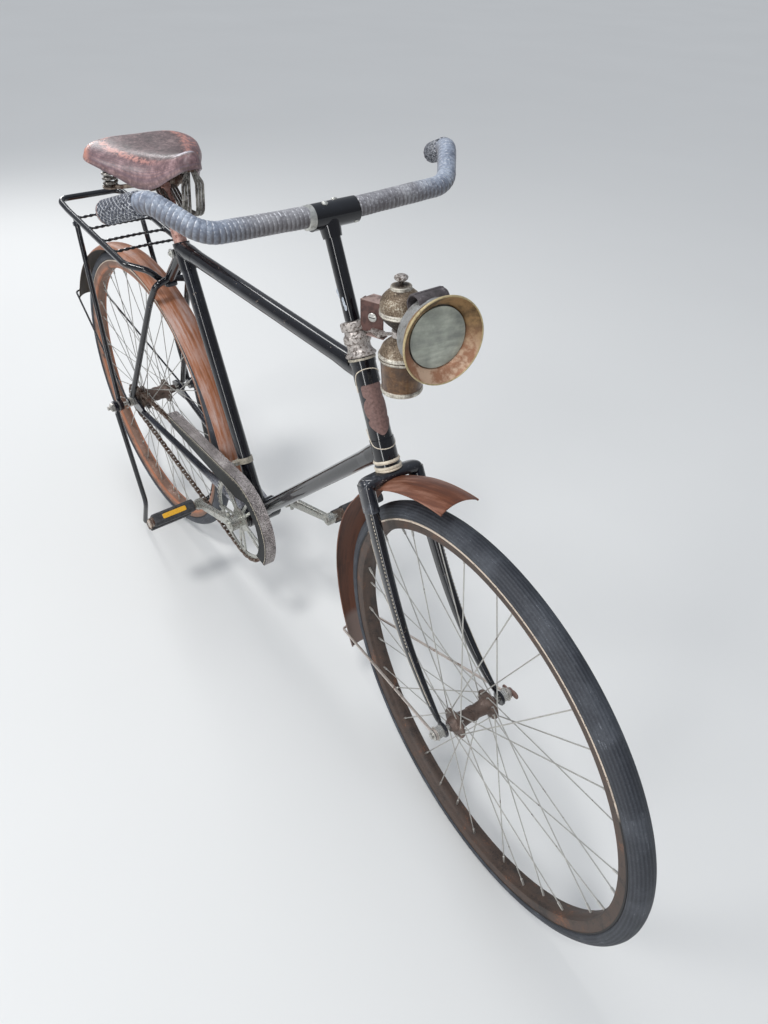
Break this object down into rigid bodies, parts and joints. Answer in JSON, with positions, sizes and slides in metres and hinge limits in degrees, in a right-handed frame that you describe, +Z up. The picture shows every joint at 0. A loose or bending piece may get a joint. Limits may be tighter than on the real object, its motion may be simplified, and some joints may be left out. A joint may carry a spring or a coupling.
{
  "type": "vintage roadster bicycle",
  "caption": "Old diamond-frame roadster bicycle with carbide lamp, sprung leather saddle, rack and two-legged rear stand; wheels, crank, pedals, steering and stand turn.",
  "frame": {"origin": "on the floor under the middle of the box that holds the bicycle", "axes": "+X forward, +Y to the rider's left, +Z up, as it stands on its rear stand with the steering turned 8 degrees right"},
  "size_m": [1.8628, 0.562, 1.0691],
  "materials": {
    "black_enamel": "worn gloss",
    "mudguard_enamel": "worn satin",
    "rim_enamel": "worn satin",
    "rusty_nickel": "tarnished",
    "rusty_steel": "rusted",
    "spring_steel": "tarnished",
    "spoke_steel": "dull",
    "saddle_leather": "worn",
    "bar_tape": "matte",
    "grip_net": "satin",
    "lamp_nickel": "tarnished",
    "lamp_brass": "tarnished",
    "lamp_glass": "dusty",
    "tyre_rubber": "matte",
    "pedal_rubber": "matte"
  },
  "bodies": {
    "frame": {"head_tube": "black_enamel", "top_tube": "black_enamel", "down_tube": "black_enamel", "seat_tube": "black_enamel", "bottom_bracket": "black_enamel", "chain_stays": "black_enamel", "seat_stays": "black_enamel", "rear_axle": "rusty_nickel", "seat_pillar": "rusty_nickel", "saddle_top": "saddle_leather", "saddle_springs": "spring_steel", "rear_mudguard": "mudguard_enamel", "rear_mudguard_stays": "black_enamel", "rack_frame": "black_enamel", "rack_rods": "black_enamel", "chain_guard": "black_enamel", "chain": "rusty_steel", "seat_tube_clip": "rusty_nickel"},
    "steering": {"fork_crown": "black_enamel", "fork_blade_right": "black_enamel", "fork_blade_left": "black_enamel", "front_axle": "rusty_nickel", "front_mudguard": "mudguard_enamel", "front_mudguard_stays": "black_enamel", "headset_top": "rusty_nickel", "handlebar_stem": "black_enamel", "handlebar": "bar_tape", "grip_right": "grip_net", "grip_left": "grip_net", "lamp_bracket": "rusty_steel", "lamp_generator": "lamp_nickel", "lamp_head": "lamp_brass", "lamp_glass": "lamp_glass"},
    "front_wheel": {"front_tyre": "tyre_rubber", "front_rim": "rim_enamel", "front_spokes": "spoke_steel", "front_hub": "rusty_steel"},
    "rear_wheel": {"rear_tyre": "tyre_rubber", "rear_rim": "rim_enamel", "rear_spokes": "spoke_steel", "rear_hub": "rusty_steel", "rear_sprocket": "rusty_steel"},
    "crank": {"chainring": "rusty_nickel", "crank_arms": "rusty_nickel"},
    "pedal_right": {"pedal_right": "pedal_rubber"},
    "pedal_left": {"pedal_left": "pedal_rubber"},
    "stand": {"rear_stand": "black_enamel"}
  },
  "joints": [
    {"name": "steering_turn", "type": "hinge", "parent": "frame", "child": "steering", "pos_m": [0.25038, -0.0153, 0.83191], "axis": [-0.4319, 0, 0.9019], "range_deg": [-47, 63]},
    {"name": "front_wheel_spin", "type": "hinge", "parent": "steering", "child": "front_wheel", "pos_m": [0.57027, -0.02686, 0.35439], "axis": [0.1255, 0.9903, 0.0601], "continuous": true},
    {"name": "rear_wheel_spin", "type": "hinge", "parent": "frame", "child": "rear_wheel", "pos_m": [-0.57143, -0.0153, 0.36768], "axis": [0, 1, 0], "continuous": true},
    {"name": "crank_spin", "type": "hinge", "parent": "frame", "child": "crank", "pos_m": [-0.08174, -0.0153, 0.31993], "axis": [0, 1, 0], "continuous": true},
    {"name": "pedal_right_spin", "type": "hinge", "parent": "crank", "child": "pedal_right", "pos_m": [-0.23835, -0.0833, 0.26798], "axis": [0, 1, 0], "continuous": true},
    {"name": "pedal_left_spin", "type": "hinge", "parent": "crank", "child": "pedal_left", "pos_m": [0.07487, 0.0527, 0.37188], "axis": [0, 1, 0], "continuous": true},
    {"name": "stand_fold", "type": "hinge", "parent": "frame", "child": "stand", "pos_m": [-0.57143, -0.0153, 0.36768], "axis": [0, 1, 0], "range_deg": [0, 100]}
  ]
}
